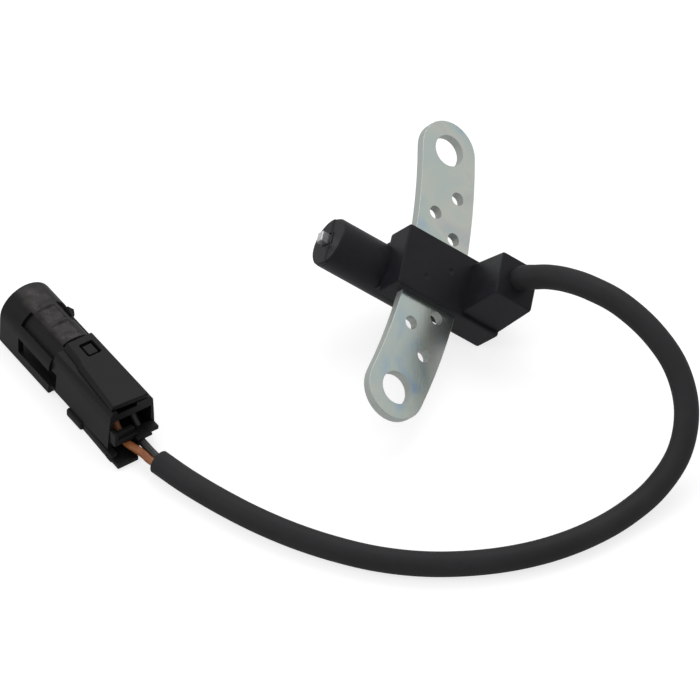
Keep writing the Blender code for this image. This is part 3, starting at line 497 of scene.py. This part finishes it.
blotches = add_node(tree, "ShaderNodeTexNoise", {"Scale": 33.0 / (100.0 * MM), "Detail": 3.0},
                    Vector=place)
blotch = add_node(tree, "ShaderNodeMapRange",
                  {"From Min": 0.36, "From Max": 0.62, "To Min": 0.35, "To Max": 0.95},
                  Value=blotches.outputs["Fac"])
rub = blotch.outputs["Result"]
for reach, (gone, full) in ((aside.outputs["Value"], RUB_ASIDE), (axes.outputs["Z"], RUB_UP),
                            (axes.outputs["X"], RUB_AHEAD)):
    fade = add_node(tree, "ShaderNodeMapRange",
                    {"interpolation_type": "SMOOTHSTEP", "From Min": gone * MM,
                     "From Max": full * MM}, Value=reach)
    faded = add_node(tree, "ShaderNodeMath", {"operation": "MULTIPLY"},
                     _0=rub, _1=fade.outputs["Result"])
    rub = faded.outputs["Value"]
clean = shader.inputs["Base Color"].links[0].from_socket
rubbed = add_node(tree, "ShaderNodeMix", {"data_type": "RGBA", "7": linear("#433f3e")},
                  _0=rub, _6=clean)
streaks = add_node(tree, "ShaderNodeTexNoise", {"Scale": 9.0 / (10.0 * MM), "Detail": 4.0,
                                            "Distortion": 1.5}, Vector=place)
scuff = add_node(tree, "ShaderNodeMapRange", {"From Min": 0.60, "From Max": 0.72, "To Max": 0.5},
                 Value=streaks.outputs["Fac"])
scuff = add_node(tree, "ShaderNodeMath", {"operation": "MULTIPLY"},
                 _0=scuff.outputs["Result"], _1=rub)
scuffed = add_node(tree, "ShaderNodeMix", {"data_type": "RGBA", "7": linear("#6d6967")},
                   _0=scuff.outputs["Value"], _6=rubbed.outputs[2])
tree.links.new(scuffed.outputs[2], shader.inputs["Base Color"])

# In the connector's own frame, in mm: where corners are drawn out, and by how much. On the
# housing these are the ends of the wire notches, the shroud's foot, the lug on its shoulder
# and the ends of the two pockets on its spine.
HOUSING_DRAWS = (
    ((8.2, -3.7, 1.9), (8.2, 3.7, 2.9), (-2.2, 0.0, 0.0)),
    ((28.0, 6.0, 0.0), (48.9, 7.0, 1.0), (0.0, 0.15, -0.2)),
    ((28.0, 6.3, -0.1), (48.9, 7.1, 0.45), (0.0, 0.2, -0.2)),
    ((39.4, -5.3, 11.0), (39.6, -5.2, 11.2), (-1.7, -0.9, 0.8)),
    ((35.9, -5.3, 11.0), (36.1, -5.2, 11.2), (0.7, -0.4, 0.3)),
    ((39.4, -4.6, 12.1), (39.6, -4.4, 12.3), (-0.8, -0.55, 0.5)),
    ((29.3, -2.3, 13.45), (29.3, 2.3, 13.45), (0.5, 0.0, 0.0)),
    ((34.5, -2.3, 13.45), (34.5, 2.3, 13.45), (-0.5, 0.0, 0.0)),
    ((35.2, -2.3, 13.45), (35.2, 2.3, 13.45), (0.5, 0.0, 0.0)),
    ((40.4, -2.3, 13.45), (40.4, 2.3, 13.45), (-0.5, 0.0, 0.0)),
)
# On the cover, the far side, the underside and the near lower corners.
COVER_DRAWS = (
    ((4.0, -4.1, 12.8), (28.0, -4.1, 14.1), (0.0, -0.2, 0.0)),
    ((4.0, -4.6, 12.8), (28.0, 5.0, 12.9), (0.0, 0.0, -0.27)),
    ((19.0, 2.4, 12.5), (28.0, 3.6, 12.7), (0.0, 1.0, 0.0)),
    ((4.0, 4.7, 12.5), (6.0, 5.0, 12.7), (0.0, 0.4, 0.0)),
)
# On the lock, the nose's rear, the near side and its upper edge, and the tongue under the
# housing, which reaches across and forward so that no table shows through.
LOCK_DRAWS = (
    ((17.7, 5.0, -0.8), (18.5, 7.4, 1.7), (-3.4, 0.0, 0.0)),
    ((1.9, 6.2, -0.8), (13.9, 6.65, 1.7), (0.0, 0.35, 0.0)),
    ((1.9, 6.4, 1.2), (13.9, 7.05, 1.7), (0.0, 0.0, -0.6)),
    ((4.2, 1.2, -0.5), (4.45, 1.5, 0.6), (0.0, -4.3, 0.3)),
    ((4.2, -3.1, -0.5), (4.45, 5.25, 0.9), (4.6, 0.0, 0.0)),
)
# How far the sharp edges are rounded: least on the housing and the lock, more on the cover.
TOOL_EDGE = 0.12 * MM
COVER_EDGE = 0.3 * MM
for node, name, draws, edge in (("connector_housing", "housing", HOUSING_DRAWS, TOOL_EDGE),
                                ("connector_cover", "cover", COVER_DRAWS, COVER_EDGE),
                                ("connector_lock", "lock", LOCK_DRAWS, TOOL_EDGE)):
    piece = merged_copy(node, name)
    for low, high, shift in draws:
        move_corners(piece, connector_frame, low, high, shift)
    soften(piece, edge)
    dress(piece, node, housing_nylon)


# Bare cores: two insulated copper wires. They leave the end of the sheath together, run low
# through the notches of the housing, and climb into their seals.

# Centre lines in mm of the connector's own frame.
CORE_DIAMETER = 1.9 * MM
CORE_ROUTES = {
    "brown": ((-5.5, 0.75, 2.9), (-4.2, 1.08, 2.92), (-2.2, 1.2, 2.9), (0.2, 1.66, 2.86),
              (2.2, 2.22, 2.86), (4.4, 2.4, 2.9), (6.4, 2.4, 4.1), (8.2, 2.4, 5.7),
              (10.2, 2.4, 6.85), (12.2, 2.4, 7.0), (16.2, 2.4, 7.0)),
    "black": ((-5.5, -1.12, 2.4), (-4.2, -0.83, 2.85), (-2.2, -0.72, 2.9), (-0.4, -0.7, 2.95),
              (1.6, -0.75, 3.0), (3.0, -1.5, 2.95), (4.4, -2.36, 2.9), (6.4, -2.4, 4.1),
              (8.2, -2.4, 5.7), (10.2, -2.4, 6.85), (12.2, -2.4, 7.0), (16.2, -2.4, 7.0)),
}
for colour, shades in (("brown", ("#854a24", "#9f5f30")), ("black", ("#17171a", "#202023"))):
    # Soft plastic insulation: an even colour and a low gloss, with a slight haze from handling
    # in patches, nine to 20 mm.
    insulation, tree, shader, place = new_material(f"{colour} core insulation")
    haze = add_node(tree, "ShaderNodeTexNoise", {"Scale": 9.0 / (20.0 * MM), "Detail": 3.0},
                    Vector=place)
    shade = add_node(tree, "ShaderNodeValToRGB",
                     {"stops": ((0.35, shades[0]), (0.65, shades[1]))}, Fac=haze.outputs["Fac"])
    tree.links.new(shade.outputs["Color"], shader.inputs["Base Color"])
    rough = add_node(tree, "ShaderNodeMapRange", {"To Min": 0.34, "To Max": 0.50},
                     Value=haze.outputs["Fac"])
    tree.links.new(rough.outputs["Result"], shader.inputs["Roughness"])
    points = [connector_frame @ (Vector(point) * MM) for point in CORE_ROUTES[colour]]
    wire = hose(f"core_{colour}_wire", smooth_line(points, parts=5), CORE_DIAMETER, sides=24,
                material=insulation)
    bpy.ops.object.select_all(action="DESELECT")
    wire.select_set(True)
    bpy.context.view_layer.objects.active = wire
    bpy.ops.object.convert(target="MESH")
    dress(wire, f"core_{colour}", insulation)
    inner = merged_copy(f"head_core_{colour}", f"head_core_{colour}_wire")
    soften(inner, width=0.0, angle=60.0)
    dress(inner, f"head_core_{colour}", insulation)


# Inside the head: a magnet behind the pole piece, and a coil of enamelled copper on a nylon
# spool, joined to the cores by two brass lugs. Inside the connector: a terminal and a rubber
# seal on each core. Little of them shows, so they keep their solids and get a finish each.

def finish_solids(nodes, name, colours, metallic, roughness, grain, depth):
    """A finish with a grain so wide and so deep in mm, for pieces that keep their solids."""
    material, tree, shader, place = new_material(name)
    noise = add_node(tree, "ShaderNodeTexNoise", {"Scale": 1.0 / (grain * MM), "Detail": 3.0},
                     Vector=place)
    shade = add_node(tree, "ShaderNodeValToRGB",
                     {"stops": ((0.35, colours[0]), (0.65, colours[1]))},
                     Fac=noise.outputs["Fac"])
    tree.links.new(shade.outputs["Color"], shader.inputs["Base Color"])
    shader.inputs["Metallic"].default_value = metallic
    rough = add_node(tree, "ShaderNodeMapRange",
                     {"To Min": roughness[0], "To Max": roughness[1]}, Value=noise.outputs["Fac"])
    tree.links.new(rough.outputs["Result"], shader.inputs["Roughness"])
    bump = add_node(tree, "ShaderNodeBump", {"Strength": 0.4, "Distance": depth * MM},
                    Height=noise.outputs["Fac"])
    tree.links.new(bump.outputs["Normal"], shader.inputs["Normal"])
    for node in nodes:
        frame["nodes"][node].data.materials.clear()
        frame["nodes"][node].data.materials.append(material)


# Sintered metal: dark grey and dull, with a pitted skin.
finish_solids(("magnet",), "sintered alnico magnet", ("#4c4c50", "#63646a"), metallic=1.0,
              roughness=(0.45, 0.65), grain=0.5, depth=0.03)
# Moulded nylon: black, and duller than the body.
finish_solids(("coil_bobbin",), "black nylon spool", ("#141416", "#1e1e21"), metallic=0.0,
              roughness=(0.45, 0.60), grain=0.8, depth=0.02)
# Enamelled wire: a glossy red-brown metal, with a grain in place of its many turns.
finish_solids(("coil_winding",), "enamelled copper wire", ("#8a4a24", "#b0683a"), metallic=1.0,
              roughness=(0.25, 0.40), grain=0.4, depth=0.04)
# Tinned brass: a pale, warm metal with soft reflections.
finish_solids(("coil_lug_1", "coil_lug_2", "pin_terminal_1", "pin_terminal_2"), "tinned brass",
              ("#b9b3a0", "#d2ccb9"), metallic=1.0, roughness=(0.22, 0.38), grain=0.6,
              depth=0.01)
# Moulded silicone: black, matt and even.
finish_solids(("wire_seal_1", "wire_seal_2"), "black silicone seal", ("#151517", "#202022"),
              metallic=0.0, roughness=(0.55, 0.72), grain=0.9, depth=0.02)

bpy.context.view_layer.update()
